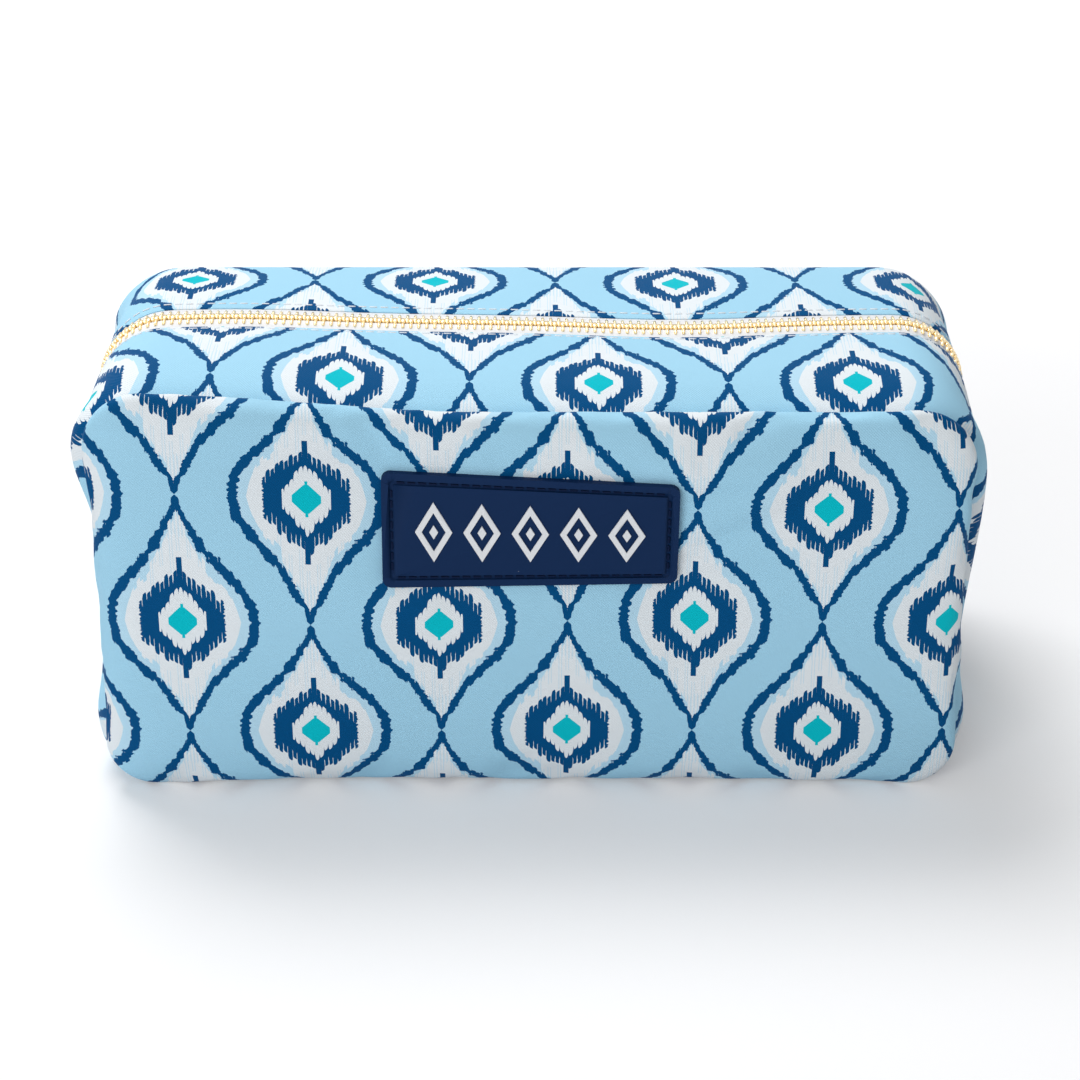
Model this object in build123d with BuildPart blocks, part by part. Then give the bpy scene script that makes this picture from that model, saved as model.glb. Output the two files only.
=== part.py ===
from build123d import *
import math
import os

# A soft padded bag for game tiles. It stands on the XY plane with its origin on the floor under
# its middle. The zip runs along X, the label faces -Y and Z is up. All sizes are in millimetres.

# Bag: a front and a back panel, joined by a gusset that goes all the way round between them.
panel_width = 240.0
panel_height = 117.0
panel_top_radius = 17.0
panel_bottom_radius = 14.0
gusset_depth = 100.0
dome_angle = 6.0
panel_roll = 2.3
edge_roll_radius = 4.6
cross_seam_height = 40.0

# Layers of the walls
cloth_thick = 0.8
panel_padding_thick = 4.0
gusset_padding_thick = 1.9
lining_thick = 0.5

# Mouth: how far short of the rounded corners the top swings open, and the gaps round the flaps
mouth_margin = 3.0
slit = 0.35
running_gap = 0.3

# Zip: distances across it are half widths, measured from its centre line
fold_half = 6.2
lining_edge_half = 6.8
padding_edge_half = 7.6
tape_half = 14.0
tape_edge_half = 1.6
tape_thick = 0.6
tooth_pitch = 2.25
tooth_width = 1.0
tooth_height = 2.4
tooth_root_half = 3.1
tooth_overlap = 0.5
jaw_clearance = 0.03
chain_end_height = 49.6

# Zip stops, clamped on the tape below the last teeth
stop_length = 2.8
stop_width = 2.6
stop_height = 44.6

# Slider, with its crown and its pull tab
slider_rest_height = 53.0
slider_length = 12.0
slider_width = 9.5
plate_thick = 1.0
teeth_clearance_above = 0.3
teeth_clearance_below = 0.7
flange_width = 1.0
flange_above = 0.25
flange_below = 1.15
post_length = 2.0
post_width = 1.6
post_inset = 0.6
crown_length = 8.4
crown_width = 1.8
crown_window_length = 5.6
crown_window_height = 1.9
crown_thick = 0.8
pull_bar_radius = 0.65
pull_bar_place = 1.8
pull_thick = 1.2
pull_arm_gap = 0.35
pull_arm_width = 1.4
pull_loop_length = 6.8
pull_width = 8.0
pull_length = 26.0

# Binding tape over the inner seam allowances
binding_width = 7.0
binding_thick = 1.6
binding_clearance = 0.4

# Topstitching beside the zip
stitch_length = 2.2
stitch_pitch = 3.1
stitch_width = 0.45
stitch_rise = 0.2
stitch_from_fold = 2.0

# Label patch
label_width = 80.0
label_height = 32.0
label_thick = 2.0
label_radius = 2.5
label_drop = 33.0
groove_inset = 2.0
groove_width = 1.3
groove_depth = 0.7
label_stitch_length = 2.0
label_stitch_pitch = 2.9
lozenge_count = 5
lozenge_pitch = 13.0
lozenge_width = 10.0
lozenge_height = 17.0
lozenge_line = 1.5
lozenge_core = 0.36
lozenge_rise = 0.5

# Signs of the two sides of the bag
FRONT = -1
BACK = 1
LEFT = -1
RIGHT = 1

# Worked out from the sizes above
tilt = math.radians(dome_angle)
gusset_wall = cloth_thick + gusset_padding_thick + lining_thick
nose_radius = gusset_wall / 2
panel_thick = cloth_thick + panel_padding_thick + lining_thick
hinge_y = gusset_depth / 2
panel_inner_y = hinge_y + nose_radius + running_gap
seam_half_width = panel_width / 2 - panel_roll
seam_top = panel_height - panel_roll
seam_top_radius = panel_top_radius - panel_roll
seam_bottom_radius = panel_bottom_radius - panel_roll
hinge_height = seam_top - nose_radius / math.cos(tilt)
corner_x = seam_half_width - seam_top_radius
corner_height = seam_top - seam_top_radius
hinge_radius = hinge_height - corner_height
tape_level = nose_radius - cloth_thick - tape_thick / 2
chain_radius = hinge_radius + hinge_y * math.tan(tilt) + tape_level
break_station = tooth_pitch * (math.floor((corner_x - mouth_margin) / tooth_pitch) + 0.75)
flap_half_length = break_station - slit / 2
end_start_x = break_station + slit / 2
arc_length = chain_radius * math.pi / 2
label_centre_height = panel_height - label_drop
far = 2 * panel_width


def rise(y):
    """How much higher the domed gusset stands at y than at its seams."""
    return (hinge_y - abs(y)) * math.tan(tilt)


def across(half, level=0.0):
    """Distance from the hinge, along the tilted strip, of a place this far from the zip's centre."""
    return (hinge_y - half + level * math.sin(tilt)) / math.cos(tilt)


def station_at_height(height):
    """Station along the zip of a place at this height on an end of the bag."""
    return corner_x + arc_length + corner_height - height


def zip_frame(station):
    """Point above the hinge line, outward and forward directions at a station along the zip.

    Stations count from the middle of the top, over the corner and down the end of the bag.
    """
    hand = math.copysign(1, station)
    past_corner = abs(station) - corner_x
    bend = min(max(past_corner / chain_radius, 0), math.pi / 2)
    drop = max(past_corner - arc_length, 0)
    outward = Vector(hand * math.sin(bend), 0, math.cos(bend))
    forward = Vector(math.cos(bend), 0, -hand * math.sin(bend))
    centre = Vector(hand * min(abs(station), corner_x), 0, corner_height - drop)
    return centre, outward, forward


def strip_plane(side, station=0.0):
    """Plane across one tilted half of the zip gusset: X from the seam to the zip, Y outward."""
    centre, outward, forward = zip_frame(station)
    origin = centre + outward * hinge_radius + Vector(0, side * hinge_y, 0)
    toward_zip = Vector(0, -side * math.cos(tilt), 0) + outward * math.sin(tilt)
    return Plane(origin=origin, x_dir=toward_zip, z_dir=forward * -side)


def chain_plane(station, lift=0.0):
    """Plane lying on the zip's centre line: X along the zip, Y across it, Z outward."""
    centre, outward, forward = zip_frame(station)
    return Plane(origin=centre + outward * (chain_radius + lift), x_dir=forward, z_dir=outward)


# Front and back panels


def panel_slab(side, inset, near, depth, roll=0.0):
    """Slab with a panel's outline, drawn in by inset, from near to depth outside its inner face."""
    with BuildPart() as slab:
        with BuildSketch(Plane.XZ.offset(-side * (panel_inner_y + near))) as outline:
            with Locations((0, panel_height / 2)):
                Rectangle(panel_width - 2 * inset, panel_height - 2 * inset)
            fillet(outline.vertices().group_by(Axis.Y)[-1], panel_top_radius - inset)
            fillet(outline.vertices().group_by(Axis.Y)[0], panel_bottom_radius - inset)
        extrude(amount=-side * (depth - near))
        if roll > 0:
            outward = Axis((0, 0, 0), (0, side, 0))
            fillet(slab.faces().sort_by(outward)[-1].edges(), roll)
    return slab


def panel_cloth(side):
    """Printed outer cloth of a panel, rolled over its padding at every edge."""
    outside = panel_slab(side, 0, 0, panel_thick, edge_roll_radius)
    hollow = panel_slab(side, cloth_thick, 0, panel_thick - cloth_thick, edge_roll_radius - cloth_thick)
    with BuildPart() as cloth:
        add(outside.part)
        add(hollow.part, mode=Mode.SUBTRACT)
    return cloth


def panel_padding(side):
    """Wadding behind a panel's outer cloth."""
    return panel_slab(
        side, cloth_thick, lining_thick, panel_thick - cloth_thick, edge_roll_radius - cloth_thick
    )


def panel_lining(side):
    """Lining sheet of a panel."""
    return panel_slab(side, cloth_thick, 0, lining_thick)


# Gusset layers that stay with the bag: the base with the lower ends, and the two zip ends


def gusset_block(inset):
    """Solid with the gusset's domed outer shape, every face drawn in by inset."""
    with BuildPart() as block:
        for y in (-panel_inner_y, 0, panel_inner_y):
            with BuildSketch(Plane.XZ.offset(-y)) as section:
                height = seam_top + rise(y) - 2 * inset
                with Locations((0, inset + height / 2)):
                    Rectangle(2 * (seam_half_width + rise(y) - inset), height)
                fillet(section.vertices().group_by(Axis.Y)[-1], seam_top_radius + rise(y) - inset)
                fillet(section.vertices().group_by(Axis.Y)[0], seam_bottom_radius - inset)
        loft(ruled=True)
    return block


def base_layer(outer_inset, inner_inset):
    """One layer of the base gusset: the bottom and both lower ends, up to the cross seams."""
    with BuildPart() as layer:
        add(gusset_block(outer_inset).part)
        add(gusset_block(inner_inset).part, mode=Mode.SUBTRACT)
        Box(far, far, cross_seam_height, align=(Align.CENTER, Align.CENTER, Align.MIN), mode=Mode.INTERSECT)
    return layer


def end_layer(hand, outer_inset, inner_inset, near_half, far_half=panel_inner_y):
    """One layer of a zip end: the corner and the upper end, in a front and a back half."""
    with BuildPart() as layer:
        add(gusset_block(outer_inset).part)
        add(gusset_block(inner_inset).part, mode=Mode.SUBTRACT)
        with Locations((hand * end_start_x, 0, cross_seam_height)):
            keep_x = Align.MIN if hand > 0 else Align.MAX
            Box(far, 2 * far_half, far, align=(keep_x, Align.CENTER, Align.MIN), mode=Mode.INTERSECT)
        Box(far, 2 * near_half, far, mode=Mode.SUBTRACT)
    return layer


def end_cloth(hand, side):
    """Printed outer cloth of a quarter of the zip gusset's ends."""
    both = end_layer(hand, 0, cloth_thick, fold_half)
    with BuildPart() as cloth:
        add(both.part)
        keep_y = Align.MIN if side > 0 else Align.MAX
        Box(far, far, far, align=(Align.CENTER, keep_y, Align.CENTER), mode=Mode.INTERSECT)
    return cloth


def end_tape(hand):
    """The two woven tapes of the zip, from the mouth over the corner and down the end."""
    return end_layer(hand, cloth_thick, cloth_thick + tape_thick, tape_edge_half, tape_half)


def end_padding(hand):
    """Wadding of a zip end, thinner where the tape is sewn in under the cloth."""
    full = end_layer(hand, cloth_thick, gusset_wall - lining_thick, padding_edge_half)
    tape = end_tape(hand)
    with BuildPart() as padding:
        add(full.part)
        add(tape.part, mode=Mode.SUBTRACT)
    return padding


def end_lining(hand):
    """Lining of a zip end."""
    return end_layer(hand, gusset_wall - lining_thick, gusset_wall, lining_edge_half)


def seam_binding(side):
    """Ring of binding tape over the seam allowances, flat against a panel's lining."""
    inset = gusset_wall + binding_clearance
    height = seam_top - 2 * inset
    with BuildPart() as binding:
        with BuildSketch(Plane.XZ.offset(-side * panel_inner_y)) as ring:
            with Locations((0, inset + height / 2)):
                Rectangle(2 * (seam_half_width - inset), height)
            fillet(ring.vertices().group_by(Axis.Y)[-1], seam_top_radius - inset)
            fillet(ring.vertices().group_by(Axis.Y)[0], seam_bottom_radius - inset)
            offset(amount=-binding_width, mode=Mode.SUBTRACT)
        extrude(amount=side * binding_thick)
    return binding


# Flaps: the two strips of the top that swing outward when the zip is open


def flap_layer(side, near_half, top, thick):
    """One flat layer of a flap, from the hinge to near_half, its outer face at top."""
    with BuildPart() as layer:
        with BuildSketch(strip_plane(side)):
            with Locations((0, top)):
                Rectangle(across(near_half), thick, align=(Align.MIN, Align.MAX))
        extrude(amount=flap_half_length, both=True)
    return layer


def flap_cloth(side):
    """Printed outer cloth of a flap, with the rolled seam edge that it swings on."""
    with BuildPart() as cloth:
        with BuildSketch(strip_plane(side)):
            Circle(nose_radius)
            Rectangle(far, far, align=(Align.MIN, Align.CENTER), mode=Mode.SUBTRACT)
            with Locations((0, nose_radius)):
                Rectangle(across(fold_half), cloth_thick, align=(Align.MIN, Align.MAX))
        extrude(amount=flap_half_length, both=True)
    return cloth


def flap_tape(side):
    """Woven tape of the zip along a flap, sewn in under the cloth's folded edge."""
    with BuildPart() as tape:
        with BuildSketch(strip_plane(side)):
            with Locations((across(tape_half, tape_level), tape_level)):
                width = across(tape_edge_half) - across(tape_half)
                Rectangle(width, tape_thick, align=(Align.MIN, Align.CENTER))
        extrude(amount=flap_half_length, both=True)
    return tape


def flap_padding(side):
    """Wadding of a flap, thinner where the tape is sewn in."""
    full = flap_layer(side, padding_edge_half, nose_radius - cloth_thick, gusset_padding_thick)
    tape = flap_tape(side)
    with BuildPart() as padding:
        add(full.part)
        add(tape.part, mode=Mode.SUBTRACT)
    return padding


def flap_lining(side):
    """Lining of a flap."""
    return flap_layer(side, lining_edge_half, lining_thick - nose_radius, lining_thick)


def topstitching(side):
    """Row of stitches beside the folded edge of a flap."""
    count = math.floor(2 * flap_half_length / stitch_pitch)
    stations = [(i - (count - 1) / 2) * stitch_pitch for i in range(count)]
    with BuildPart() as stitches:
        with BuildSketch(*[strip_plane(side, station).offset(-stitch_length / 2) for station in stations]):
            with Locations((across(fold_half + stitch_from_fold), nose_radius)):
                Rectangle(stitch_width, stitch_rise, align=(Align.CENTER, Align.MIN))
        extrude(amount=stitch_length)
    return stitches


# Zip teeth and stops


def row_stations(side):
    """Stations of every tooth in a row. The back row stands half a pitch beside the front row."""
    stagger = 0 if side == FRONT else tooth_pitch / 2
    last = station_at_height(chain_end_height + tooth_width / 2)
    count = math.floor(last / tooth_pitch)
    stations = [i * tooth_pitch + stagger for i in range(-count - 1, count + 1)]
    return [station for station in stations if abs(station) <= last]


def teeth(side, stations):
    """Metal blocks clamped on the tape's edge, their heads reaching past the centre line."""
    with BuildPart() as row:
        with BuildSketch(*[strip_plane(side, station).offset(-tooth_width / 2) for station in stations]):
            with Locations((across(tooth_root_half, tape_level), tape_level)):
                length = across(-tooth_overlap) - across(tooth_root_half)
                Rectangle(length, tooth_height, align=(Align.MIN, Align.CENTER))
                jaw = across(tape_edge_half - 2 * jaw_clearance) - across(tooth_root_half)
                slot = tape_thick + 2 * jaw_clearance
                Rectangle(jaw, slot, align=(Align.MIN, Align.CENTER), mode=Mode.SUBTRACT)
        extrude(amount=tooth_width)
    return row


def flap_teeth(side):
    """The row of teeth along a flap."""
    return teeth(side, [s for s in row_stations(side) if abs(s) < break_station])


def end_teeth(hand):
    """Both rows of teeth over a corner and down an end."""
    rows = [
        teeth(side, [s for s in row_stations(side) if s * hand > break_station])
        for side in (FRONT, BACK)
    ]
    with BuildPart() as both:
        for row in rows:
            add(row.part)
    return both


def end_stops(hand, joined):
    """Stop clamps at an end of the zip: one on each tape, or a single one that joins both tapes."""
    station = hand * station_at_height(stop_height)
    with BuildPart() as stops:
        with BuildSketch(chain_plane(station)):
            with GridLocations(0, 2 * tape_edge_half + stop_width / 2, 1, 2):
                Rectangle(stop_length, stop_width)
            if joined:
                Rectangle(stop_length, 2 * tape_edge_half)
        extrude(amount=tooth_height / 2, both=True)
    tape = end_tape(hand)
    with BuildPart() as clear_of_tape:
        add(stops.part)
        add(tape.part, mode=Mode.SUBTRACT)
    return clear_of_tape


# Slider and pull tab, parked at the closed end of the zip


slider_station = station_at_height(slider_rest_height)
top_inner = tooth_height / 2 + teeth_clearance_above
bottom_inner = -tooth_height / 2 - teeth_clearance_below
crown_foot = top_inner + plate_thick
pull_level = crown_foot + crown_window_height / 2


def slider():
    """Slider: two plates held apart by a post, with flanges round the tapes and a crown on top."""
    with BuildPart() as body:
        for level, thick in ((top_inner, plate_thick), (bottom_inner, -plate_thick)):
            with BuildSketch(chain_plane(slider_station, level)):
                RectangleRounded(slider_length, slider_width, slider_width / 4)
            extrude(amount=thick)
        flange_place = slider_width - flange_width
        for level, thick in ((flange_above, top_inner - flange_above), (-flange_below, bottom_inner + flange_below)):
            with BuildSketch(chain_plane(slider_station, level)):
                with GridLocations(0, flange_place, 1, 2):
                    Rectangle(slider_length - slider_width / 2, flange_width)
            extrude(amount=thick)
        with BuildSketch(chain_plane(slider_station, bottom_inner)):
            with Locations((slider_length / 2 - post_inset, 0)):
                Rectangle(post_length, post_width, align=(Align.MAX, Align.CENTER))
        extrude(amount=top_inner - bottom_inner)
        with BuildSketch(chain_plane(slider_station, crown_foot)):
            Rectangle(crown_length, crown_width)
        extrude(amount=crown_window_height + crown_thick)
        with BuildSketch(chain_plane(slider_station, crown_foot)):
            Rectangle(crown_window_length, crown_width)
        extrude(amount=crown_window_height, mode=Mode.SUBTRACT)
    return body


def pull_tab():
    """Pull tab: a bar under the crown, two arms beside it and a flat tongue hanging from them."""
    arm_half = crown_width / 2 + pull_arm_gap
    loop_half = arm_half + pull_arm_width
    with BuildPart() as tab:
        with BuildSketch(chain_plane(slider_station, pull_level)):
            with Locations((pull_bar_place - pull_bar_radius, 0)):
                reach = pull_bar_radius + pull_loop_length
                Rectangle(reach, 2 * loop_half, align=(Align.MIN, Align.CENTER))
                Rectangle(reach, 2 * arm_half, align=(Align.MIN, Align.CENTER), mode=Mode.SUBTRACT)
            with Locations((pull_bar_place + pull_loop_length, 0)):
                length = pull_length - pull_width / 2
                Rectangle(length, pull_width, align=(Align.MIN, Align.CENTER))
            with Locations((pull_bar_place + pull_loop_length + pull_length - pull_width / 2, 0)):
                Circle(pull_width / 2)
        extrude(amount=pull_thick / 2, both=True)
        bar_end = chain_plane(slider_station, pull_level)
        bar_plane = Plane(
            origin=bar_end.from_local_coords((pull_bar_place, -loop_half, 0)),
            x_dir=bar_end.x_dir,
            z_dir=bar_end.y_dir,
        )
        with BuildSketch(bar_plane):
            Circle(pull_bar_radius)
        extrude(amount=2 * loop_half)
    return tab


# Label patch, sewn on the front panel


def label_plane(lift=0.0):
    """Plane on the face of the front panel, at the middle of the label."""
    out = panel_inner_y + panel_thick + lift
    return Plane(origin=(0, -out, label_centre_height), x_dir=(1, 0, 0), z_dir=(0, -1, 0))


def label_patch():
    """Moulded patch with a sewing groove inside its rim."""
    with BuildPart() as patch:
        with BuildSketch(label_plane()):
            RectangleRounded(label_width, label_height, label_radius)
        extrude(amount=label_thick)
        with BuildSketch(label_plane(label_thick)):
            shrink = 2 * groove_inset
            RectangleRounded(label_width - shrink, label_height - shrink, label_radius / 2)
            shrink = 2 * (groove_inset + groove_width)
            Rectangle(label_width - shrink, label_height - shrink, mode=Mode.SUBTRACT)
        extrude(amount=-groove_depth, mode=Mode.SUBTRACT)
    return patch


def label_stitching():
    """Stitches lying in the label's groove, along its four sides."""
    shrink = 2 * groove_inset + groove_width
    long_side = label_width - shrink
    short_side = label_height - shrink
    long_count = math.floor(long_side / label_stitch_pitch)
    short_count = math.floor(short_side / label_stitch_pitch) - 1
    with BuildPart() as stitches:
        with BuildSketch(label_plane(label_thick - groove_depth)):
            with GridLocations(label_stitch_pitch, short_side, long_count, 2):
                Rectangle(label_stitch_length, stitch_width)
            with GridLocations(long_side, label_stitch_pitch, 2, short_count):
                Rectangle(stitch_width, label_stitch_length)
        extrude(amount=stitch_width)
    return stitches


def rhombus(width, height):
    """Corners of an upright rhombus."""
    return [(width / 2, 0), (0, height / 2), (-width / 2, 0), (0, -height / 2)]


def label_lozenges():
    """Plain raised lozenges on the label, each a frame round a small core."""
    slope = math.hypot(lozenge_width, lozenge_height)
    inner_width = lozenge_width - 2 * lozenge_line * slope / lozenge_height
    inner_height = lozenge_height - 2 * lozenge_line * slope / lozenge_width
    with BuildPart() as lozenges:
        with BuildSketch(label_plane(label_thick)):
            with GridLocations(lozenge_pitch, 0, lozenge_count, 1):
                Polygon(rhombus(lozenge_width, lozenge_height))
                Polygon(rhombus(inner_width, inner_height), mode=Mode.SUBTRACT)
                Polygon(rhombus(inner_width * lozenge_core, inner_height * lozenge_core))
        extrude(amount=lozenge_rise)
    return lozenges


# Every piece under its own name

pieces = {
    "front_panel": panel_cloth(FRONT),
    "front_padding": panel_padding(FRONT),
    "front_lining": panel_lining(FRONT),
    "back_panel": panel_cloth(BACK),
    "back_padding": panel_padding(BACK),
    "back_lining": panel_lining(BACK),
    "base_gusset": base_layer(0, cloth_thick),
    "base_padding": base_layer(cloth_thick, gusset_wall - lining_thick),
    "base_lining": base_layer(gusset_wall - lining_thick, gusset_wall),
    "front_seam_binding": seam_binding(FRONT),
    "back_seam_binding": seam_binding(BACK),
    "front_zip_strip": flap_cloth(FRONT),
    "front_strip_padding": flap_padding(FRONT),
    "front_strip_lining": flap_lining(FRONT),
    "front_zip_tape": flap_tape(FRONT),
    "front_zip_teeth": flap_teeth(FRONT),
    "front_topstitching": topstitching(FRONT),
    "back_zip_strip": flap_cloth(BACK),
    "back_strip_padding": flap_padding(BACK),
    "back_strip_lining": flap_lining(BACK),
    "back_zip_tape": flap_tape(BACK),
    "back_zip_teeth": flap_teeth(BACK),
    "back_topstitching": topstitching(BACK),
    "zip_top_stops": end_stops(RIGHT, joined=False),
    "zip_bottom_stop": end_stops(LEFT, joined=True),
    "zip_slider": slider(),
    "zip_pull_tab": pull_tab(),
    "label_patch": label_patch(),
    "label_stitching": label_stitching(),
    "label_lozenges": label_lozenges(),
}
for hand, word in ((LEFT, "left"), (RIGHT, "right")):
    pieces[f"{word}_front_end_strip"] = end_cloth(hand, FRONT)
    pieces[f"{word}_back_end_strip"] = end_cloth(hand, BACK)
    pieces[f"{word}_end_padding"] = end_padding(hand)
    pieces[f"{word}_end_lining"] = end_lining(hand)
    pieces[f"{word}_end_tape"] = end_tape(hand)
    pieces[f"{word}_end_teeth"] = end_teeth(hand)

os.makedirs("parts", exist_ok=True)
for name, piece in pieces.items():
    piece.part.label = name
    export_step(piece.part, f"parts/{name}.step")
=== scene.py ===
import math

import bpy
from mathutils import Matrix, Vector


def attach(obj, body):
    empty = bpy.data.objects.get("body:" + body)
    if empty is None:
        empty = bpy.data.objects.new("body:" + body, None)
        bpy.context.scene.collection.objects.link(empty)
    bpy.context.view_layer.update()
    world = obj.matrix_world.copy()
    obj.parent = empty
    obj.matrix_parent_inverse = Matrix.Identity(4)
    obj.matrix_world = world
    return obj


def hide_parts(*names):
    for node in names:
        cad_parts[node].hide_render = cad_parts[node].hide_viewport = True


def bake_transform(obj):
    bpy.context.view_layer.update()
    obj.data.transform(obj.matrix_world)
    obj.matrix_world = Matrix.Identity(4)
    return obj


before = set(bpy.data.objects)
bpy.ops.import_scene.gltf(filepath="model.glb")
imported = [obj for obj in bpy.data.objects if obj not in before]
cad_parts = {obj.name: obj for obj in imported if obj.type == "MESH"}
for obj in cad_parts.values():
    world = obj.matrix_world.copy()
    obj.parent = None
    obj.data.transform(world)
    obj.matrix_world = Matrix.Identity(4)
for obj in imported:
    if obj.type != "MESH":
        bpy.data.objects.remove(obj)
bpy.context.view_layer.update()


# Camera
# The photograph looks down on the bag's front from a little way off, with a long lens. Distances are
# in metres, and the object is about two hundred and fifty millimetres long.

camera_distance = 0.810
camera_elevation = math.radians(28.0)
camera_target = Vector((0.0026, 0, 0.0497))
camera_lens = 91.9


def show(name, data):
    """An object made of some data, in the scene."""
    thing = bpy.data.objects.new(name, data)
    bpy.context.scene.collection.objects.link(thing)
    return thing


camera_data = bpy.data.cameras.new("camera")
camera_data.lens = camera_lens
camera_data.sensor_width = 36
camera = show("camera", camera_data)
camera.location = camera_target + camera_distance * Vector(
    (0, -math.cos(camera_elevation), math.sin(camera_elevation))
)
camera.rotation_euler = (math.pi / 2 - camera_elevation, 0, 0)
bpy.context.scene.camera = camera
bpy.context.scene.view_settings.view_transform = "Standard"


# Floor and light
# A plain pale tabletop under a large soft lamp overhead, with a weaker one in front. The tabletop
# and the air behind it look white to the camera, and the object still leaves its shadow there.


def add(tree, kind, **inputs):
    """A new shader node of a kind, with values for its inputs. An underscore stands for a space."""
    node = tree.nodes.new("ShaderNode" + kind)
    for name, value in inputs.items():
        node.inputs[name.replace("_", " ")].default_value = value
    return node


def blank_material(name):
    """A node material with nothing in it but its output."""
    material = bpy.data.materials.new(name)
    material.use_nodes = True
    tree = material.node_tree
    tree.nodes.clear()
    output = add(tree, "OutputMaterial")
    return material, tree, output


def join(source, target):
    """Wires an output socket to an input one."""
    source.id_data.links.new(source, target)


def seen_directly(tree):
    """One for rays from the camera, and for those that metal sends on."""
    path = add(tree, "LightPath")
    either = add(tree, "Math")
    either.operation = "MAXIMUM"
    join(path.outputs["Is Camera Ray"], either.inputs[0])
    join(path.outputs["Is Glossy Ray"], either.inputs[1])
    return either.outputs[0]


floor_size = 8.0
bpy.ops.object.select_all(action="DESELECT")
bpy.ops.mesh.primitive_plane_add(size=floor_size, location=(0, 0, 0))
floor = bpy.context.object
floor.name = "floor"
floor.data.transform(floor.matrix_world)
floor.matrix_world.identity()
floor_material, tree, output = blank_material("pale_table")
table = add(tree, "BsdfDiffuse", Color=(0.80, 0.80, 0.81, 1))
glow = add(tree, "Emission", Color=(1, 1, 1, 1))
spot = add(tree, "TexCoord")
far = add(tree, "VectorMath")
far.operation = "LENGTH"
join(spot.outputs["Object"], far.inputs[0])
brighten = add(tree, "MapRange", From_Min=0.30, From_Max=1.30, To_Min=0.20, To_Max=0.80)
join(far.outputs["Value"], brighten.inputs["Value"])
weaken = add(tree, "Math")
weaken.operation = "MULTIPLY"
join(seen_directly(tree), weaken.inputs[0])
join(brighten.outputs[0], weaken.inputs[1])
join(weaken.outputs[0], glow.inputs["Strength"])
both = add(tree, "AddShader")
join(table.outputs[0], both.inputs[0])
join(glow.outputs[0], both.inputs[1])
join(both.outputs[0], output.inputs["Surface"])
floor.data.materials.append(floor_material)

world = bpy.data.worlds.new("studio_air")
bpy.context.scene.world = world
world.use_nodes = True
tree = world.node_tree
air = tree.nodes["Background"]
air.inputs["Color"].default_value = (1, 1, 1, 1)
lift = add(tree, "MapRange", To_Min=0.34, To_Max=1.0)
join(seen_directly(tree), lift.inputs["Value"])
join(lift.outputs[0], air.inputs["Strength"])


lamp_aim = Vector((0, 0, 0.06))


def soft_lamp(name, place, size, power):
    """A square area lamp that points at the bag's middle, its size in metres and power in watts."""
    data = bpy.data.lights.new(name, "AREA")
    data.shape = "SQUARE"
    data.size = size
    data.energy = power
    lamp = show(name, data)
    lamp.location = place
    lamp.rotation_euler = (lamp_aim - Vector(place)).to_track_quat("-Z", "Y").to_euler()


soft_lamp("overhead_lamp", place=(-0.35, 0.55, 1.25), size=0.7, power=14.1)
soft_lamp("front_lamp", place=(-0.7, -1.5, 0.8), size=1.0, power=12.4)


# Front panel
# One piece of printed microfibre twill over wadding, cut with round corners. It is sewn to the gusset
# inside out and turned, so that its edge rolls over the seam all round and its middle stands out.

panel_width = 240.0
panel_height = 117.0
panel_top_radius = 17.0
panel_bottom_radius = 14.0
cloth_thick = 0.8
# How far in from the outline the cloth is, and how far out from the bag's middle, from the seam on
panel_roll = [
    (3.2, 51.1), (2.0, 51.3), (0.9, 51.9), (0.2, 52.8), (0.0, 53.8), (0.5, 54.9),
    (1.7, 55.8), (3.6, 56.4), (7.0, 56.9), (12.0, 57.2),
]
panel_grid = 3.0
print_width = 70.0
print_height = 69.0
twill_pitch = 0.55
crossing_pitch = 0.8
# The print's motif from its middle: its reach up, the widths of its threads, and the half widths
# and tops of the spike, the navy ring, the white core and the turquoise eye
motif_reach = 36.0
ikat_thread = 1.25
thin_thread = 0.95
core_thread = 1.3
spike_half = 0.75
spike_top = 17.5
ring_half = 11.6
ring_top = 15.3
core_half = 6.5
core_top = 10.4
eye_half = 3.9
sky_blue = (0.380, 0.680, 0.870, 1)
pale_sky = (0.490, 0.740, 0.900, 1)
milk_white = (0.800, 0.860, 0.900, 1)
ink_navy = (0.0006, 0.076, 0.225, 1)
bright_turquoise = (0.002, 0.530, 0.620, 1)


def calc(operation, *values):
    """A Math node fed with sockets or numbers, in the tree of its first socket."""
    tree = next(value.id_data for value in values if not isinstance(value, (int, float)))
    node = add(tree, "Math")
    node.operation = operation
    for socket, value in zip(node.inputs, values):
        if isinstance(value, (int, float)):
            socket.default_value = value
        else:
            join(value, socket)
    return node.outputs[0]


def curve_of(tree, value, points, span, reach):
    """A value read off a smooth curve through points, over 0 to span, of height up to reach."""
    node = add(tree, "FloatCurve")
    curve = node.mapping.curves[0]
    curve.points[0].location = (points[0][0] / span, points[0][1] / reach)
    curve.points[1].location = (points[-1][0] / span, points[-1][1] / reach)
    for along, high in points[1:-1]:
        curve.points.new(along / span, high / reach)
    node.mapping.update()
    join(calc("DIVIDE", value, span), node.inputs["Value"])
    return calc("MULTIPLY", node.outputs[0], reach)


def chance(tree, value, seed):
    """A steady random number from 0 to 1 for each whole number."""
    node = add(tree, "TexWhiteNoise")
    node.noise_dimensions = "1D"
    join(calc("ADD", value, seed), node.inputs["W"])
    return node.outputs["Value"]


def blur(tree, value, scale, seed):
    """A smooth random number round 0 along one direction."""
    node = add(tree, "TexNoise", Scale=scale, Detail=1.0)
    node.noise_dimensions = "1D"
    join(calc("ADD", value, seed), node.inputs["W"])
    return calc("SUBTRACT", node.outputs[0], 0.5)


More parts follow.
